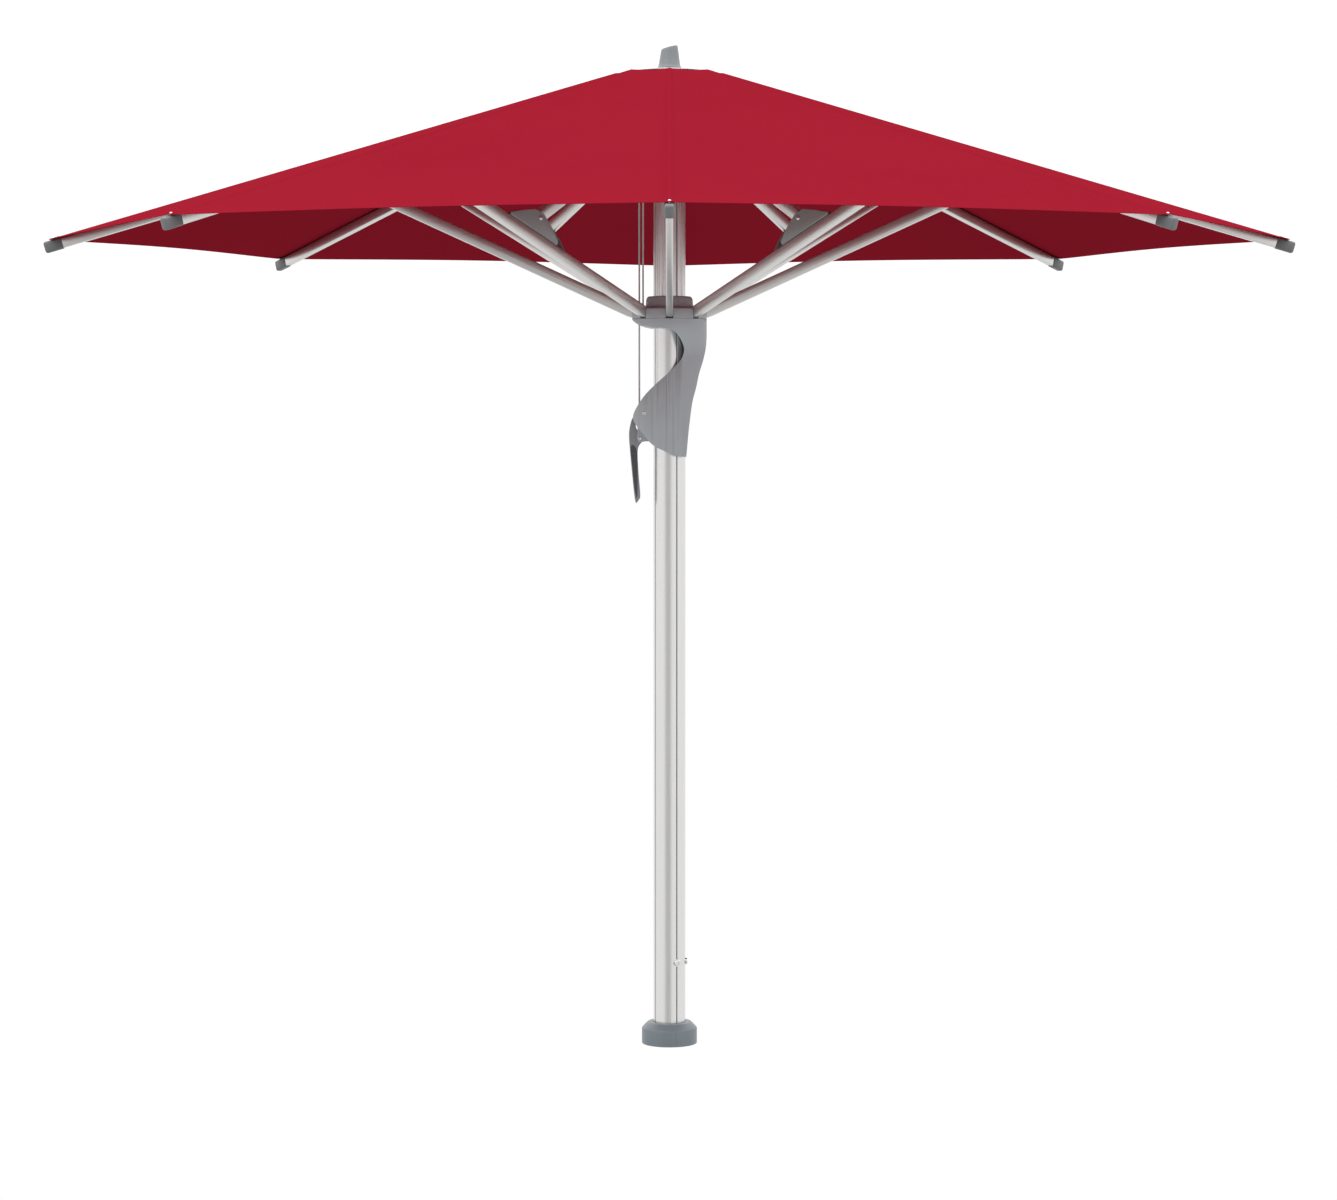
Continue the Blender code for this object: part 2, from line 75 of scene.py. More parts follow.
MAST_BOTTOM, MAST_TOP = 0.0066, 2.684
BOLT_HEIGHT = 0.234
ROPE_AZIMUTH, ROPE_SPACING, ROPE_RADIUS = 67.5, 0.014, 0.0025
PULLEY_PIVOT = (0.0855, 2.700)


# ---------- materials ----------

def node_material(name, colour, roughness, metallic=0.0):
    made = bpy.data.materials.new(name)
    made.use_nodes = True
    tree = made.node_tree
    shader = tree.nodes["Principled BSDF"]
    shader.inputs["Base Color"].default_value = (*colour, 1)
    shader.inputs["Roughness"].default_value = roughness
    shader.inputs["Metallic"].default_value = metallic
    return made, tree, shader


def texture(tree, kind, scale, stretch=(1, 1, 1), **settings):
    """A procedural texture over the object's own coordinates."""
    coordinates = tree.nodes.new("ShaderNodeTexCoord")
    mapping = tree.nodes.new("ShaderNodeMapping")
    mapping.inputs["Scale"].default_value = stretch
    node = tree.nodes.new(kind)
    node.inputs["Scale"].default_value = scale
    for key, value in settings.items():
        if key in node.inputs:
            node.inputs[key].default_value = value
        else:
            setattr(node, key, value)
    tree.links.new(coordinates.outputs["Object"], mapping.inputs["Vector"])
    tree.links.new(mapping.outputs["Vector"], node.inputs["Vector"])
    return node


def ramp(tree, source, low, high):
    """Turns a texture's 0 to 1 into a blend between two colours."""
    node = tree.nodes.new("ShaderNodeValToRGB")
    node.color_ramp.elements[0].color = (*low, 1)
    node.color_ramp.elements[1].color = (*high, 1)
    tree.links.new(source, node.inputs["Fac"])
    return node.outputs["Color"]


def bump(tree, shader, source, distance, strength=1.0):
    node = tree.nodes.new("ShaderNodeBump")
    node.inputs["Distance"].default_value = distance
    node.inputs["Strength"].default_value = strength
    tree.links.new(source, node.inputs["Height"])
    tree.links.new(node.outputs["Normal"], shader.inputs["Normal"])


def shade(colour, factor):
    return tuple(c * factor for c in colour)


def fabric_material(name, colour):
    made, tree, shader = node_material(name, colour, 0.95)
    cloud = texture(tree, "ShaderNodeTexNoise", 1.6, Detail=3.0)
    tint = ramp(tree, cloud.outputs["Fac"], shade(colour, 0.94), shade(colour, 1.06))
    tree.links.new(tint, shader.inputs["Base Color"])
    warp = texture(tree, "ShaderNodeTexWave", 420.0, bands_direction="X")
    weft = texture(tree, "ShaderNodeTexWave", 420.0, bands_direction="Y")
    weave = tree.nodes.new("ShaderNodeMath")
    weave.operation = "MULTIPLY"
    tree.links.new(warp.outputs["Fac"], weave.inputs[0])
    tree.links.new(weft.outputs["Fac"], weave.inputs[1])
    bump(tree, shader, weave.outputs["Value"], 0.0003, 0.35)
    shader.inputs["Specular IOR Level"].default_value = 0.0
    return made


def metal_material(name, colour, roughness, along="Z"):
    """Anodised or brushed metal, with fine lines drawn out along one axis."""
    made, tree, shader = node_material(name, colour, roughness, 1.0)
    stretch = {"X": (1.5, 90, 90), "Y": (90, 1.5, 90), "Z": (90, 90, 1.5)}[along]
    lines = texture(tree, "ShaderNodeTexNoise", 6.0, stretch, Detail=5.0)
    tint = ramp(tree, lines.outputs["Fac"], shade(colour, 0.93), shade(colour, 1.05))
    tree.links.new(tint, shader.inputs["Base Color"])
    gloss = tree.nodes.new("ShaderNodeMapRange")
    gloss.inputs["To Min"].default_value = roughness - 0.05
    gloss.inputs["To Max"].default_value = roughness + 0.08
    tree.links.new(lines.outputs["Fac"], gloss.inputs["Value"])
    tree.links.new(gloss.outputs["Result"], shader.inputs["Roughness"])
    bump(tree, shader, lines.outputs["Fac"], 0.0001, 0.3)
    return made


def plastic_material(name, colour, roughness):
    """Moulded plastic with a fine spark-eroded grain."""
    made, tree, shader = node_material(name, colour, roughness)
    grain = texture(tree, "ShaderNodeTexNoise", 900.0, Detail=2.0)
    bump(tree, shader, grain.outputs["Fac"], 0.0002, 0.35)
    cloud = texture(tree, "ShaderNodeTexNoise", 14.0, Detail=3.0)
    tint = ramp(tree, cloud.outputs["Fac"], shade(colour, 0.95), shade(colour, 1.05))
    tree.links.new(tint, shader.inputs["Base Color"])
    return made


def rope_material():
    made, tree, shader = node_material("braided_rope", (0.62, 0.61, 0.58), 0.9)
    braid = texture(tree, "ShaderNodeTexWave", 130.0, bands_direction="DIAGONAL")
    tint = ramp(tree, braid.outputs["Fac"], (0.42, 0.41, 0.39), (0.70, 0.69, 0.66))
    tree.links.new(tint, shader.inputs["Base Color"])
    bump(tree, shader, braid.outputs["Fac"], 0.0006)
    return made


CLOTH = fabric_material("canopy_fabric", (0.218, 0.0085, 0.0190))
ARM_METAL = metal_material("arm_aluminium", (0.72, 0.715, 0.700), 0.30, "X")
MAST_METAL = metal_material("mast_aluminium", (0.72, 0.715, 0.710), 0.27, "Z")
STEEL = metal_material("bright_steel", (0.70, 0.70, 0.70), 0.22, "Y")
GREY = plastic_material("housing_grey", (0.400, 0.432, 0.455), 0.42)
FINIAL_GREY = plastic_material("finial_grey", (0.175, 0.188, 0.195), 0.42)
BRACKET_GREY = plastic_material("bracket_grey", (0.30, 0.31, 0.305), 0.40)
COLLAR_GREY = plastic_material("collar_grey", (0.125, 0.150, 0.166), 0.38)
PALE = plastic_material("pale_plastic", (0.46, 0.475, 0.48), 0.4)
LEVER_GREY = plastic_material("lever_grey", (0.260, 0.275, 0.285), 0.36)
INSET_GREY = plastic_material("lever_inset", (0.060, 0.066, 0.072), 0.40)
DARK = plastic_material("dark_plastic", (0.020, 0.023, 0.026), 0.45)
CAP_GREY = plastic_material("cap_grey", (0.120, 0.126, 0.130), 0.42)
RUBBER = plastic_material("brake_rubber", (0.012, 0.012, 0.012), 0.8)
ROPE = rope_material()


# ---------- shapes ----------

def shape_from(name, bm, finish, smooth=35):
    bmesh.ops.recalc_face_normals(bm, faces=bm.faces)
    mesh = bpy.data.meshes.new(name)
    bm.to_mesh(mesh)
    bm.free()
    mesh.shade_smooth()
    mesh.set_sharp_from_angle(angle=math.radians(smooth))
    made = bpy.data.objects.new(name, mesh)
    mesh.materials.append(finish)
    bpy.context.scene.collection.objects.link(made)
    return made


def prism(name, outline, low, high, finish=GREY):
    """An outline of (x, z) points, drawn out along Y."""
    bm = bmesh.new()
    near = [bm.verts.new((x, low, z)) for x, z in outline]
    far = [bm.verts.new((x, high, z)) for x, z in outline]
    bm.faces.new(near)
    bm.faces.new(far[::-1])
    for i in range(len(outline)):
        j = (i + 1) % len(outline)
        bm.faces.new((near[i], far[i], far[j], near[j]))
    return shape_from(name, bm, finish)


def turned(name, profile, finish=GREY, steps=96):
    """A solid turned about Z from a closed loop of (radius, height) points."""
    bm = bmesh.new()
    rings = []
    for i in range(steps):
        turn = 2 * math.pi * i / steps
        rings.append([bm.verts.new((r * math.cos(turn), r * math.sin(turn), z)) for r, z in profile])
    for i in range(steps):
        here, there = rings[i], rings[(i + 1) % steps]
        for j in range(len(profile)):
            k = (j + 1) % len(profile)
            bm.faces.new((here[j], there[j], there[k], here[k]))
    return shape_from(name, bm, finish)


def box_outline(x_low, x_high, z_low, z_high):
    return [(x_low, z_low), (x_high, z_low), (x_high, z_high), (x_low, z_high)]


def both_sides(inner, outer):
    """The limits along Y of two like plates, one on each side of the middle."""
    return ((inner, outer), (-outer, -inner))


def rod(name, start, end, radius, finish=STEEL, steps=32):
    start, end = Vector(start), Vector(end)
    bm = bmesh.new()
    bmesh.ops.create_cone(
        bm, cap_ends=True, segments=steps, radius1=radius, radius2=radius, depth=(end - start).length
    )
    turn = Vector((0, 0, 1)).rotation_difference(end - start).to_matrix().to_4x4()
    bmesh.ops.transform(bm, verts=bm.verts, matrix=Matrix.Translation((start + end) / 2) @ turn)
    return shape_from(name, bm, finish)


def applied(piece, smooth=35):
    """Makes the modifiers' result the piece's own mesh."""
    graph = bpy.context.evaluated_depsgraph_get()
    mesh = bpy.data.meshes.new_from_object(piece.evaluated_get(graph))
    piece.modifiers.clear()
    piece.data = mesh
    mesh.shade_smooth()
    mesh.set_sharp_from_angle(angle=math.radians(smooth))
    return piece


def combined(operation, first, *others):
    """A boolean of the first piece with each of the others, which it uses up."""
    for other in others:
        modifier = first.modifiers.new("combine", "BOOLEAN")
        modifier.operation = operation
        modifier.object = other
        bpy.context.view_layer.update()
        applied(first)
        bpy.data.objects.remove(other)
    return first


def rounded(piece, width, segments=3, angle=32):
    modifier = piece.modifiers.new("round", "BEVEL")
    modifier.width = width
    modifier.segments = segments
    modifier.limit_method = "ANGLE"
    modifier.angle_limit = math.radians(angle)
    modifier.use_clamp_overlap = True
    modifier.harden_normals = False
    bpy.context.view_layer.update()
    return applied(piece)


def curve_through(points, steps=6, closed=True):
    """A smooth outline through a few points (Catmull-Rom)."""
    made, count = [], len(points)
    for i in range(count if closed else count - 1):
        near = [(i + k) % count if closed else min(max(i + k, 0), count - 1) for k in (-1, 0, 1, 2)]
        p = [Vector((*points[n], 0)) for n in near]
        for step in range(steps):
            t = step / steps
            place = 0.5 * (
                2 * p[1]
                + (p[2] - p[0]) * t
                + (2 * p[0] - 5 * p[1] + 4 * p[2] - p[3]) * t**2
                + (3 * p[1] - p[0] - 3 * p[2] + p[3]) * t**3
            )
            made.append((place.x, place.y))
    return made


def turn_of(azimuth):
    """The turn about Z that takes +X to an azimuth, counted clockwise from the front in degrees."""
    return -math.radians(90 + azimuth)


def turned_to(azimuth, piece):
    piece.data.transform(Matrix.Rotation(turn_of(azimuth), 4, "Z"))
    return piece


def keep(piece, body, slot_name, *nodes):
    """A finished piece: what it rides on, its finish (not used), and the CAD nodes it stands for."""
    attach(piece, body)
    if nodes:
        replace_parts(piece, *nodes)
    return piece


def repeat(stem, piece, slot_name, body_stem, node_stem, arms):
    """Copies a piece drawn in the radial frame to each arm, as a mesh object of its own."""
    for arm in arms:
        direction = DIRECTIONS[arm]
        mesh = piece.data.copy()
        copy = bpy.data.objects.new(f"{stem}_{direction}_shape", mesh)
        copy.rotation_euler.z = turn_of(45 * arm)
        bpy.context.scene.collection.objects.link(copy)
        bpy.context.view_layer.update()
        node = [f"{node_stem}_{direction}"] if node_stem else []
        keep(copy, f"{body_stem}_{direction}", slot_name, *node)
    bpy.data.objects.remove(piece)


def fabric_top(radius):
    """The height of the cloth's top face along a rib."""
    return CROWN_TOP - RIB_SLOPE * max(0.0, radius - CROWN_RADIUS)


def rib_axis(radius):
    """The height of a rib's centre line."""
    return CROWN_TOP - RIB_DROP - RIB_SLOPE * (radius - CROWN_RADIUS)


# ---------- canopy ----------

HEM, CLOTH_THICKNESS = 0.030, 0.0011
EDGE_SAG, PANEL_SAG = 0.018, 0.020
SEAM_HALF, SEAM_HEIGHT, HEM_HEIGHT = 0.0065, 0.0009, 0.0012
CANOPY_START, CANOPY_END = 0.104, TIP_RADIUS - 0.010


def canopy_point(radius, across, side):
    """A point of the panel: across runs from 0 at the rib to 1 at the middle of the gore."""
    outward = (radius - CANOPY_START) / (CANOPY_END - CANOPY_START)
    bow = math.sin(across * math.pi / 2)
    pulled = radius - EDGE_SAG * bow**1.3 * outward**6
    along = across * pulled * math.sin(PANEL_HALF)
    x = pulled - along * math.sin(PANEL_HALF)
    y = side * along * math.cos(PANEL_HALF)
    z = fabric_top(pulled) - PANEL_SAG * bow * math.sin(math.pi * min(1.0, outward)) ** 0.8
    return Vector((x, y, z))


def canopy_mesh():
    """A rib's panel as a grid, raised a little at the seam along the rib and at the hem."""
    rows, columns = 72, 22
    hem_start = CANOPY_END - HEM
    radii = [CANOPY_START + (hem_start - CANOPY_START) * i / (rows - 3) for i in range(rows - 2)]
    radii += [hem_start + 0.0012, CANOPY_END - 0.004, CANOPY_END]
    bm = bmesh.new()
    grid = []
    for r in radii:
        seam_end = min(0.45, SEAM_HALF / (r * math.sin(PANEL_HALF)))
        plain_start = seam_end * 1.18
        shares = [0.0, seam_end, plain_start]
        shares += [plain_start + (1 - plain_start) * (k / (columns - 3)) for k in range(1, columns - 2)]
        halves = {}
        for side in (-1, 1):
            halves[side] = []
            for k, share in enumerate(shares):
                place = canopy_point(r, share, side)
                raised = SEAM_HEIGHT if k < 2 else 0.0
                if r > hem_start:
                    raised += HEM_HEIGHT
                place.z += raised
                halves[side].append(place)
        grid.append([bm.verts.new(place) for place in halves[-1][:0:-1] + halves[1]])
    for here, there in zip(grid, grid[1:]):
        for j in range(len(here) - 1):
            bm.faces.new((here[j], here[j + 1], there[j + 1], there[j]))
    return bm


def make_canopy():
    panel = shape_from("canopy", canopy_mesh(), CLOTH, 60)
    if panel.data.polygons[0].normal.z < 0:
        panel.data.flip_normals()
    thick = panel.modifiers.new("cloth", "SOLIDIFY")
    thick.thickness = CLOTH_THICKNESS
    thick.offset = -1
    bpy.context.view_layer.update()
    applied(panel, 60)
    for arm, direction in enumerate(DIRECTIONS):
        turn = turn_of(45 * arm)
        copy = bpy.data.objects.new(f"canopy_{direction}", panel.data.copy())
        copy.data.transform(Matrix.Rotation(turn, 4, "Z"))
        bpy.context.scene.collection.objects.link(copy)
        keep(copy, f"rib_{direction}", "canopy_fabric", f"canopy_panel_{direction}")
        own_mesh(copy)
    bpy.data.objects.remove(panel)


# ---------- ribs, struts and links ----------

def along_rib(radius, offset):
    """A point at a distance above the rib's centre line, square to it."""
    slope = math.atan(RIB_SLOPE)
    return (radius + offset * math.sin(slope), rib_axis(radius) + offset * math.cos(slope))


def rib_strip(low, high, half):
    """A stretch of the rib's line from one radius to another, with half its depth given."""
    return [along_rib(low, -half), along_rib(high, -half), along_rib(high, half), along_rib(low, half)]


def bar_outline(start, end, depth, end_radius, steps=12):
    """A bar from pivot to pivot, full depth in the middle and narrowing to a round end at each."""
    ax = Vector((end[0] - start[0], end[1] - start[1]))
    length = ax.length
    ax.normalize()
    shoulder, half = end_radius + 0.008, depth / 2

    def at(s, t):
        return (start[0] + s * ax.x - t * ax.y, start[1] + s * ax.y + t * ax.x)

    points = [at(shoulder, -half), at(length - shoulder, -half)]
    for i in range(steps + 1):
        turn = -math.pi / 2 + math.pi * i / steps
        points.append(at(length + end_radius * math.cos(turn), end_radius * math.sin(turn)))
    points += [at(length - shoulder, half), at(shoulder, half)]
    for i in range(steps + 1):
        turn = math.pi / 2 + math.pi * i / steps
        points.append(at(end_radius * math.cos(turn), end_radius * math.sin(turn)))
    return points


def bar(name, outline, width):
    """An arm's tube: an outline of the radial frame at its full width, with rounded edges."""
    return rounded(prism(name, outline, -width / 2, width / 2, ARM_METAL), 0.0035)


def cross_rod(name, pivot, half_length, radius):
    """A round pin through a pivot of the radial frame."""
    x, z = pivot
    return rod(name, (x, -half_length, z), (x, half_length, z), radius)


def make_ribs():
    """A tube with a tongue and cross pin at the crown, and two lugs below it for the strut."""
    rib = bar("rib", rib_strip(RIB_START, RIB_END, RIB_DEPTH / 2), RIB_WIDTH)
    tongue_depth, tongue_half = 0.0095, 0.006
    strip = rib_strip(CROWN_PIVOT[0] - tongue_depth, RIB_START + 0.010, tongue_depth)
    tongue = prism("tongue", strip, -tongue_half, tongue_half, ARM_METAL)
    parts = [tongue, cross_rod("pin", CROWN_PIVOT, 0.0158, 0.0035)]
    x, z = RIB_PIVOT
    foot, root = z - 0.009, rib_axis(x) + 0.004
    foot_half, root_half = 0.012, 0.018
    lug = [(x - foot_half, foot), (x + foot_half, foot), (x + root_half, root), (x - root_half, root)]
    for low, high in both_sides(0.0103, 0.013):
        parts.append(prism("lug", lug, low, high, ARM_METAL))
    parts.append(cross_rod("pivot", RIB_PIVOT, 0.0160, 0.0045))
    repeat("rib", combined("UNION", rib, *parts), "arm_aluminium", "rib", "rib", range(8))


def make_tip_caps():
    """A plug on each rib's outer end."""
    length, half_depth, half_width = 0.053, 0.0162, 0.0118
    strip = rib_strip(TIP_RADIUS - length, TIP_RADIUS, half_depth)
    cap = rounded(prism("cap", strip, -half_width, half_width, CAP_GREY), 0.0062, 5)
    repeat("tip_cap", cap, "cap_plastic", "rib", "tip_cap", range(8))


def make_cap_knobs():
    """The small bright knob on top of each cap."""
    knob_radius = TIP_RADIUS - 0.024
    foot = rib_axis(knob_radius) + 0.0155
    profile = [
        (0.0002, foot), (0.0050, foot), (0.0050, foot + 0.003), (0.0042, foot + 0.0062),
        (0.0020, foot + 0.008), (0.0002, foot + 0.0083),
    ]
    knob = turned("knob", profile, STEEL, 32)
    knob.data.transform(Matrix.Translation((knob_radius, 0, 0)))
    repeat("cap_knob", knob, "steel", "rib", None, range(8))


def make_struts():
    strut = bar("strut", bar_outline(SLIDER_PIVOT, RIB_PIVOT, STRUT_DEPTH, STRUT_END), STRUT_WIDTH)
    strut = combined("UNION", strut, cross_rod("pin", SLIDER_PIVOT, 0.0175, 0.003))
    repeat("strut", strut, "arm_aluminium", "strut", "strut", range(8))


def make_strut_brackets():
    """Two cheeks and a web on top of each diagonal strut, where its link is screwed."""
    x, z = SLIDER_PIVOT
    ax = Vector((RIB_PIVOT[0] - x, RIB_PIVOT[1] - z)).normalized()

    def on_strut(along, above):
        return (x + along * ax.x - above * ax.y, z + along * ax.y + above * ax.x)

    base = STRUT_DEPTH / 2 + 0.0006
    web_top, web_half = base + 0.003, 0.0124
    web = [on_strut(*p) for p in box_outline(0.394, 0.576, base, web_top)]
    side = [
        (0.392, base), (0.577, base), (0.579, 0.022), (0.540, 0.048),
        (0.500, 0.0705), (0.470, 0.0715), (0.425, 0.050), (0.392, 0.028),
    ]
    cheek = [on_strut(*p) for p in side]
    bracket = prism("bracket", web, -web_half, web_half, BRACKET_GREY)
    for low, high in both_sides(0.0094, 0.0128):
        plate = rounded(prism("cheek", cheek, low, high, BRACKET_GREY), 0.0012, 2)
        bracket = combined("UNION", bracket, plate)
    repeat("strut_bracket", bracket, "bracket_plastic", "strut", "strut_bracket", DIAGONALS)
    screw = rounded(cross_rod("screw", BRACKET_PIVOT, 0.0150, 0.0062), 0.001, 2)
    repeat("bracket_screw", screw, "steel", "strut", None, DIAGONALS)


def make_links():
    link = bar("link", bar_outline(BRACKET_PIVOT, RUNNER_PIVOT, LINK_DEPTH, LINK_END), LINK_WIDTH)
    link = combined("UNION", link, cross_rod("pin", RUNNER_PIVOT, 0.0140, 0.003))
    repeat("link", link, "arm_aluminium", "link", "link", DIAGONALS)


# ---------- mast, base and crown ----------

GROOVES = (-28, 62, 152, -118)
GROOVE_HALF_TURN, GROOVE_DEPTH = 2.6, 0.0013
# the near-black strips laid in the grooves are painted shade, where the grooves fall into shadow
GROOVE_SHADE_RADII, GROOVE_SHADE_HALF = (0.0430, 0.04385), 0.0012


def make_mast():
    """An extruded tube with a narrow groove at each quarter, and in each a near-black strip that is
    painted shade in the groove.
    """
    steps = 360
    outer, inner = [], []
    for i in range(steps):
        turn = 2 * math.pi * i / steps
        off = min(abs((math.degrees(turn - turn_of(g)) + 180) % 360 - 180) for g in GROOVES)
        depth = GROOVE_DEPTH if off < GROOVE_HALF_TURN else 0.0
        outer.append((turn, MAST_RADIUS - depth))
        inner.append((turn, MAST_BORE))
    bm = bmesh.new()
    rings = []
    for loop, z in ((outer, MAST_BOTTOM), (outer, MAST_TOP), (inner, MAST_TOP), (inner, MAST_BOTTOM)):
        rings.append([bm.verts.new((r * math.cos(t), r * math.sin(t), z)) for t, r in loop])
    for a in range(4):
        here, there = rings[a], rings[(a + 1) % 4]
        for i in range(steps):
            j = (i + 1) % steps
            bm.faces.new((here[i], here[j], there[j], there[i]))
    mast = shape_from("mast_shape", bm, MAST_METAL, 20)
    keep(mast, "root", "mast_aluminium", "mast_tube")
    strip = box_outline(*GROOVE_SHADE_RADII, MAST_BOTTOM, MAST_TOP)
    # a near-black strip in each groove as painted shade
    for azimuth in GROOVES:
        line = prism(f"groove_shade_{azimuth % 360}", strip, -GROOVE_SHADE_HALF, GROOVE_SHADE_HALF, DARK)
        keep(turned_to(azimuth, line), "root", "inner_plastic")


def make_base():
    """The collar, with a fine line down its side at each quarter."""
    profile = [
        (0.0744, 0.0), (0.0765, 0.0), (0.0780, 0.0015), (0.0780, 0.0425), (0.0770, 0.0450),
        (0.0745, 0.0478), (0.0650, 0.0578), (0.0620, 0.0605), (0.0585, 0.0620), (0.0462, 0.0620),
        (0.0456, 0.0610), (0.0456, 0.0565), (0.058, 0.0565), (0.0744, 0.0400),
    ]
    collar = turned("collar_shape", profile, COLLAR_GREY, 128)
    line_outline, line_half = box_outline(0.0772, 0.09, -1, 0.0440), 0.0006
    for azimuth in (-14, 76, 166, -104):
        line = prism("line", line_outline, -line_half, line_half)
        collar = combined("DIFFERENCE", collar, turned_to(azimuth, line))
    keep(collar, "root", "collar_plastic", "base_collar")


def make_mast_bolts():
    """Two hexagon-socket heads, each on a washer."""
    def at(radius):
        return (radius, 0, BOLT_HEIGHT)

    for name, azimuth in (("mast_bolt_front", -28), ("mast_bolt_side", -90)):
        head = rounded(rod(f"{name}_shape", at(0.0455), at(0.0508), 0.0090), 0.0014, 3)
        socket = rod("socket", at(0.0485), at(0.06), 0.0042, STEEL, 6)
        washer = rod("washer", at(0.0440), at(0.0462), 0.0105)
        bolt = combined("UNION", combined("DIFFERENCE", head, socket), washer)
        keep(turned_to(azimuth, bolt), "root", "steel", name)


PLATE_BASE = CROWN_TOP + 0.0003
FINIAL_FOOT = PLATE_BASE + 0.0113


def make_crown_plate():
    base, steps = PLATE_BASE, 8
    rim, edge, fall, rise = 0.1128, 0.110, 0.100, 0.0085
    dome = [(0.010, base), (0.111, base), (rim, base + 0.001), (rim, base + 0.0025)]
    for i in range(steps + 1):
        t = i / steps
        dome.append((edge - fall * t, base + 0.0035 + rise * math.sin(t * math.pi / 2)))
    plate = turned("crown_plate_shape", dome, PALE, 128)
    keep(plate, "root", "plate_plastic", "crown_plate")


def make_finial():
    """A tapered knob with a slanted top."""
    foot = FINIAL_FOOT
    profile = [
        (0.0004, foot - 0.004), (0.0345, foot - 0.004), (0.0345, foot + 0.0035), (0.0320, foot + 0.0060),
        (0.0300, foot + 0.0120), (0.0268, foot + 0.034), (0.0245, foot + 0.050), (0.0236, foot + 0.0560),
        (0.0225, foot + 0.0590), (0.0200, foot + 0.0605), (0.0004, foot + 0.0612),
    ]
    finial = turned("finial_shape", profile, FINIAL_GREY, 96)
    slant_from, slant_height, slant = foot + 0.02, 0.04, 0.26
    for v in finial.data.vertices:
        share = max(0.0, (v.co.z - slant_from) / slant_height)
        v.co.z += slant * v.co.x * share
    keep(finial, "root", "housing_plastic", "finial")


# ---------- slider ----------

HUB_RADIUS, HUB_TOP, HUB_BORE = 0.1050, 2.076, 0.0488
BOWL_RADIUS, BOWL_TOP = 0.1045, 2.0460
HOUSING_REACH, HOUSING_HALF, HOUSING_BORE = 0.106, 0.058, 0.0475
FLARE_START, FLARE_END = 1.935, BOWL_TOP - 0.006
LEVER_SLOT_HALF = 0.0106

# the housing seen from the front, as (x, z): down its left side, its heel, and up its right side
HOUSING_LEFT = [
    (-0.1040, 2.0440), (-0.1000, 2.0400), (-0.0880, 2.0320), (-0.0700, 2.0250), (-0.0480, 2.0210),
    (-0.0220, 2.0200), (0.0030, 2.0160), (0.0190, 2.0060), (0.0310, 1.9900), (0.0400, 1.9680),
    (0.0395, 1.9500), (0.0300, 1.9300), (0.0050, 1.9030), (-0.0300, 1.8720), (-0.0650, 1.8380),
    (-0.0900, 1.8030), (-0.1020, 1.7760), (-0.0975, 1.7560), (-0.0718, 1.7215), (-0.0450, 1.6930),
    (-0.0127, 1.6765), (0.0150, 1.6640),
]
HOUSING_HEEL = (0.0473, 1.6607)
HOUSING_RIGHT = [
    (0.0537, 1.7327), (0.0633, 1.8087), (0.0746, 1.8537), (0.0830, 1.893), (0.0943, 1.930),
    (0.1020, 1.965), (BOWL_RADIUS, 2.0000),
]


def level_cut(bm, height):
    """Cuts a level line of edges into a mesh, so that a later bend or stretch follows it."""
    geom = bm.verts[:] + bm.edges[:] + bm.faces[:]
    bmesh.ops.bisect_plane(bm, geom=geom, plane_co=(0, 0, height), plane_no=(0, 0, 1))


def level_cut_piece(piece, height):
    bm = bmesh.new()
    bm.from_mesh(piece.data)
    level_cut(bm, height)
    bm.to_mesh(piece.data)
    bm.free()


def cleaned(piece):
    """Drops the doubled points and thin slivers that booleans and bevels leave."""
    bm = bmesh.new()
    bm.from_mesh(piece.data)
    bmesh.ops.remove_doubles(bm, verts=bm.verts, dist=0.00005)
    bmesh.ops.dissolve_degenerate(bm, edges=bm.edges, dist=0.00005)
    bmesh.ops.recalc_face_normals(bm, faces=bm.faces)
    bm.to_mesh(piece.data)
    bm.free()
    return piece


def housing_body():
    """The swan neck: its front outline within an oval column, flared to the hub's round rim at the top."""
    left = curve_through(HOUSING_LEFT, 5, closed=False) + [HOUSING_LEFT[-1]]
    right = curve_through(HOUSING_RIGHT, 5, closed=False) + [HOUSING_RIGHT[-1]]
    rim = [(BOWL_RADIUS, BOWL_TOP), (-BOWL_RADIUS, BOWL_TOP)]
    past_oval = 0.07
    body = prism("housing_shape", left + [HOUSING_HEEL] + right + rim, -past_oval, past_oval)
    oval = turned("oval", box_outline(0.001, HOUSING_REACH, 1.6, 2.1), GREY, 128)
    oval.data.transform(Matrix.Diagonal((1, HOUSING_HALF / HOUSING_REACH, 1, 1)))
    body = rounded(cleaned(combined("INTERSECT", body, oval)), 0.0045, 3, 40)
    first_cut, cut_step, cuts = 1.94, 0.008, 13
    for i in range(cuts):
        level_cut_piece(body, first_cut + cut_step * i)
    for v in body.data.vertices:
        share = min(1.0, max(0.0, (v.co.z - FLARE_START) / (FLARE_END - FLARE_START)))
        v.co.y *= 1 + (BOWL_RADIUS / HOUSING_HALF - 1) * share * share * (3 - 2 * share)
    return cleaned(body)


def housing_hollow():
    """The room inside for the mast, the lever, the brake shoe and the bush, as one cutter."""
    below, above = 1.5, 2.2
    bore = rod("bore", (0, 0, below), (0, 0, above), HOUSING_BORE, GREY, 96)
    lever_slot = box_outline(-0.12, -0.062, 1.690, 1.800)
    lever_slot = prism("lever_slot", lever_slot, -LEVER_SLOT_HALF, LEVER_SLOT_HALF)
    shoe_channel = prism("shoe_channel", box_outline(-0.07, -0.03, 1.7344, 1.7656), -0.0096, 0.0096)
    bush_room = rod("bush_room", (0, 0, 2.018), (0, 0, above), 0.0490, GREY, 96)
    return combined("UNION", bore, lever_slot, shoe_channel, bush_room)


def rope_guide_hole():
    x, y = PULLEY_PIVOT[0], -ROPE_SPACING
    return turned_to(ROPE_AZIMUTH, rod("guide", (x, y, 1.99), (x, y, 2.12), 0.0042, GREY, 24))


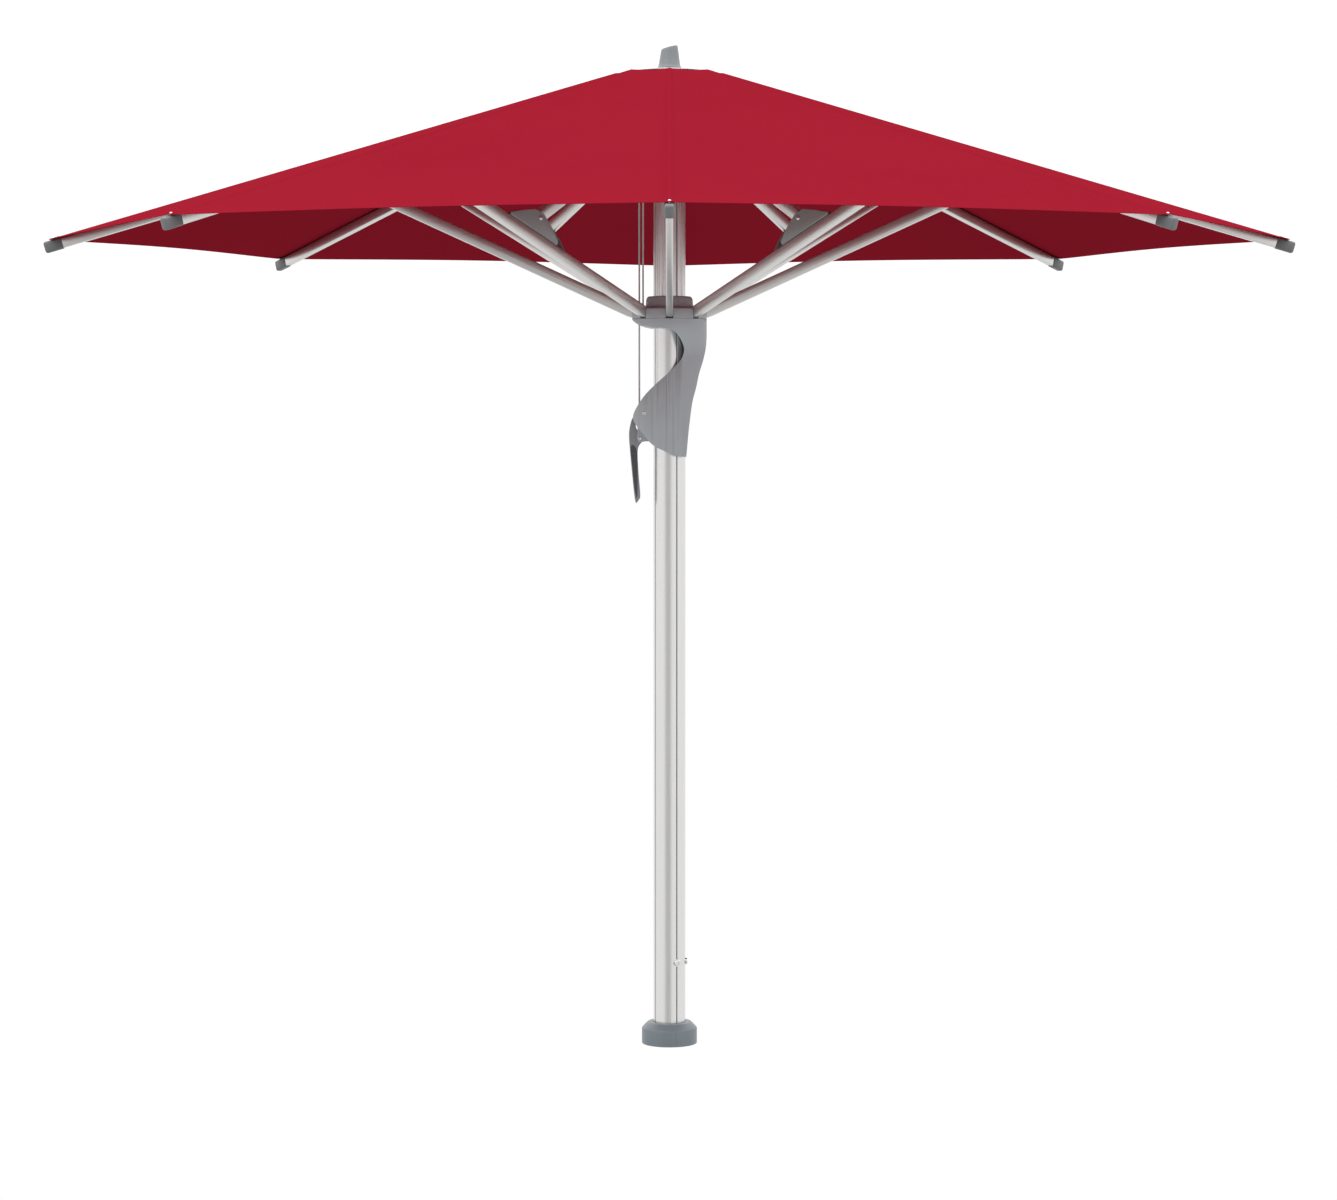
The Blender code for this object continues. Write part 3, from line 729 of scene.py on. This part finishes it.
def make_housing():
    """The swan-neck housing, with an ear on each side that holds the lever's pin."""
    housing = combined("DIFFERENCE", housing_body(), housing_hollow(), rope_guide_hole())
    px, pz = LEVER_PIVOT
    ear = [
        (px - 0.009, pz), (px - 0.005, pz - 0.009), (px + 0.004, pz - 0.0105), (px + 0.014, pz - 0.008),
        (-0.052, 1.704), (-0.052, 1.76), (-0.088, 1.76),
    ]
    for low, high in both_sides(LEVER_SLOT_HALF, 0.0166):
        housing = combined("UNION", housing, prism("ear", ear, low, high))
    keep(housing, "slider", "housing_plastic", "slider_housing")


def make_housing_screws():
    """Two socket heads that stand just proud of the housing's front."""
    for name, x, z in (("housing_screw_upper", 0.0343, 2.0125), ("housing_screw_lower", -0.0703, 1.7834)):
        face = -HOUSING_HALF * math.sqrt(1 - (x / HOUSING_REACH) ** 2)
        head = rod(f"{name}_shape", (x, face - 0.0018, z), (x, face + 0.004, z), 0.0058)
        socket = rod("socket", (x, face - 0.01, z), (x, face - 0.0004, z), 0.0028, STEEL, 6)
        head = combined("DIFFERENCE", rounded(head, 0.001, 2), socket)
        keep(head, "slider", "steel", name)


def make_hub():
    """The slider's ring above the bowl, with a slot for each strut and a collar round the mast."""
    bottom, top, bore = BOWL_TOP + 0.0002, HUB_TOP, HUB_BORE
    profile = [
        (bore, bottom), (0.1035, bottom), (HUB_RADIUS, bottom + 0.0008), (HUB_RADIUS, top - 0.006),
        (0.1035, top - 0.002), (0.099, top), (0.0720, top + 0.0030), (0.0672, top + 0.0060),
        (0.0660, top + 0.0120), (0.0655, top + 0.0240), (0.0630, top + 0.0300), (0.0590, top + 0.0335),
        (0.0540, top + 0.034), (bore, top + 0.034),
    ]
    hub = turned("hub_shape", profile, GREY, 128)
    slot_outline, slot_half = box_outline(SLIDER_PIVOT[0] - 0.015, 0.14, 2.0, 2.106), 0.01075
    dot_height, dot_radius = 2.097, 0.0028
    for arm in range(8):
        slot = turned_to(45 * arm, prism("slot", slot_outline, -slot_half, slot_half))
        dot = rod("dot", (0.0640, 0, dot_height), (0.08, 0, dot_height), dot_radius, GREY, 16)
        hub = combined("DIFFERENCE", hub, slot, turned_to(45 * arm + 22.5, dot))
    keep(hub, "slider", "housing_plastic", "slider_hub")


def make_lever():
    outline = curve_through([
        (-0.1010, 1.7735), (-0.1075, 1.7600), (-0.1128, 1.7350), (-0.1132, 1.7100), (-0.1111, 1.6821),
        (-0.1055, 1.6202), (-0.0999, 1.564), (-0.0960, 1.5360), (-0.0925, 1.5316), (-0.0860, 1.5400),
        (-0.0820, 1.5542), (-0.0872, 1.6202), (-0.0890, 1.680), (-0.0780, 1.7020), (-0.0735, 1.7120),
        (-0.0800, 1.7240), (-0.0930, 1.740), (-0.0965, 1.765),
    ], 5)
    half_width = 0.0104
    lever = prism("lever_shape", outline, -half_width, half_width, LEVER_GREY)
    keep(rounded(lever, 0.0028, 3, 50), "lever", "lever_plastic", "lever")


def make_lever_inlays():
    """A dark pad let into each side of the lever."""
    outline = curve_through([
        (-0.1085, 1.690), (-0.1030, 1.6202), (-0.0970, 1.564),
        (-0.0905, 1.5480), (-0.0895, 1.6202), (-0.0920, 1.680),
    ], 5)
    inner, outer = 0.0098, 0.01075
    for side, low, high in (("left", -outer, -inner), ("right", inner, outer)):
        pad = prism(f"lever_pad_{side}", outline, low, high, INSET_GREY)
        keep(rounded(pad, 0.0003, 1, 50), "lever", "inner_plastic")


def make_lever_pin():
    pin = rounded(cross_rod("lever_pin_shape", LEVER_PIVOT, 0.0190, 0.0042), 0.0008, 2)
    keep(pin, "slider", "steel", "lever_pin")


def on_pulley(y, z):
    """A point of the pulley's own plane: y along the plane, which the lift rope lies in, and z up."""
    radius, turn = PULLEY_PIVOT[0], turn_of(ROPE_AZIMUTH)
    across, along = math.cos(turn), math.sin(turn)
    return (radius * across - y * along, radius * along + y * across, z)


def rope_strand(name, y, bottom):
    """A straight strand from the pulley down, cut across often enough to draw out evenly."""
    top, cuts = PULLEY_PIVOT[1], 40
    bm = bmesh.new()
    bmesh.ops.create_cone(
        bm, cap_ends=True, segments=16, radius1=ROPE_RADIUS, radius2=ROPE_RADIUS, depth=top - bottom
    )
    bmesh.ops.translate(bm, verts=bm.verts, vec=on_pulley(y, (top + bottom) / 2))
    for i in range(1, cuts):
        level_cut(bm, bottom + (top - bottom) * i / cuts)
    strand = shape_from(name, bm, ROPE)
    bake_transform(strand)
    return strand


def make_rope():
    """Both strands of the lift rope, straight from the pulley down; on the real umbrella they draw out as
    the slider goes down.
    """
    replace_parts(rope_strand("rope_long_strand", -ROPE_SPACING, 1.792), "lift_rope")
    rope_strand("rope_short_strand", ROPE_SPACING, 2.082)


def make_rope_turn():
    """The half turn of rope over the pulley."""
    top, turn = PULLEY_PIVOT[1], turn_of(ROPE_AZIMUTH)
    sides, steps = 12, 20
    bm = bmesh.new()
    rings = []
    for i in range(steps + 1):
        bend = math.pi * i / steps
        ring = []
        for k in range(sides):
            around = 2 * math.pi * k / sides
            reach = ROPE_SPACING + ROPE_RADIUS * math.cos(around)
            x, y, z = on_pulley(-reach * math.cos(bend), top + reach * math.sin(bend))
            aside = ROPE_RADIUS * math.sin(around)
            ring.append(bm.verts.new((x + aside * math.cos(turn), y + aside * math.sin(turn), z)))
        rings.append(ring)
    for here, there in zip(rings, rings[1:]):
        for k in range(sides):
            bm.faces.new((here[k], here[(k + 1) % sides], there[(k + 1) % sides], there[k]))
    bm.faces.new(rings[0])
    bm.faces.new(rings[-1])
    keep(shape_from("rope_turn", bm, ROPE), "root", "rope")


def finish_cad_nodes():
    """CAD nodes that keep their own shape get a full material."""
    finishes = {
        "stand_tube": STEEL, "crown_hub": DARK, "crown_pulley": DARK, "glide_bush": DARK,
        "brake_shoe": RUBBER, "upper_runner": GREY,
    }
    for node, finish in finishes.items():
        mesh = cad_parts[node].data
        mesh.materials.clear()
        mesh.materials.append(finish)


# ---------- stage ----------

def map_range(tree, source, from_min, from_max, to_min, to_max):
    """Takes one range of values to another, and holds still past either end."""
    node = tree.nodes.new("ShaderNodeMapRange")
    limits = {"From Min": from_min, "From Max": from_max, "To Min": to_min, "To Max": to_max}
    for socket, value in limits.items():
        node.inputs[socket].default_value = value
    tree.links.new(source, node.inputs["Value"])
    return node.outputs["Result"]


def make_stage():
    """A white surrounding with no floor: brighter overhead, and a little duller well below level."""
    world = bpy.data.worlds.new("studio")
    bpy.context.scene.world = world
    world.use_nodes = True
    tree = world.node_tree
    background = tree.nodes["Background"]
    coordinates = tree.nodes.new("ShaderNodeTexCoord").outputs["Generated"]
    split = tree.nodes.new("ShaderNodeSeparateXYZ")
    tree.links.new(coordinates, split.inputs[0])
    upward = split.outputs["Z"]
    strength = tree.nodes.new("ShaderNodeMath")
    strength.operation = "MULTIPLY"
    overhead = map_range(tree, upward, 0.0, 0.9, 1.0, 2.4)
    # it stays white as far down as the photograph's view reaches
    underfoot = map_range(tree, upward, -0.34, -0.27, 0.85, 1.0)
    tree.links.new(overhead, strength.inputs[0])
    tree.links.new(underfoot, strength.inputs[1])
    tree.links.new(strength.outputs["Value"], background.inputs["Strength"])

    # a darker band behind the camera, so that round metal shows a soft dark stripe
    around = tree.nodes.new("ShaderNodeTexGradient")
    around.gradient_type = "RADIAL"
    band = tree.nodes.new("ShaderNodeValToRGB")
    stops = band.color_ramp.elements
    for place, level in ((0.150, 1.0), (0.178, 0.60), (0.270, 0.56), (0.290, 1.0)):
        stops.new(place).color = (level, level, level, 1)
    stops[0].color = stops[-1].color = (1, 1, 1, 1)
    tree.links.new(coordinates, around.inputs["Vector"])
    tree.links.new(around.outputs["Fac"], band.inputs["Fac"])
    tree.links.new(band.outputs["Color"], background.inputs["Color"])

    key = bpy.data.lights.new("key", "SUN")
    key.energy = 0.5
    key.angle = math.radians(35)
    lamp = bpy.data.objects.new("key", key)
    lamp.rotation_euler = (math.radians(48), 0, math.radians(-32))
    bpy.context.scene.collection.objects.link(lamp)


def make_camera():
    """A long lens from the front, a little above the slider's lever, tipped slightly down."""
    distance, height, pitch = 9.72, 1.789, math.radians(3.13)
    camera = bpy.data.cameras.new("camera")
    camera.sensor_width = 36.0
    camera.lens = 93.0292
    camera.shift_x = -0.0007
    holder = bpy.data.objects.new("camera", camera)
    holder.location = (0, -distance, height)
    holder.rotation_euler = (math.pi / 2 - pitch, 0, 0)
    bpy.context.scene.collection.objects.link(holder)
    bpy.context.scene.camera = holder
    bpy.context.scene.view_settings.view_transform = "Standard"


make_camera()
make_stage()
make_mast()
make_base()
make_mast_bolts()
make_crown_plate()
make_finial()
make_hub()
make_housing()
make_housing_screws()
make_lever()
make_lever_inlays()
make_lever_pin()
make_rope()
make_rope_turn()
make_ribs()
make_tip_caps()
make_cap_knobs()
make_struts()
make_strut_brackets()
make_links()
make_canopy()
finish_cad_nodes()
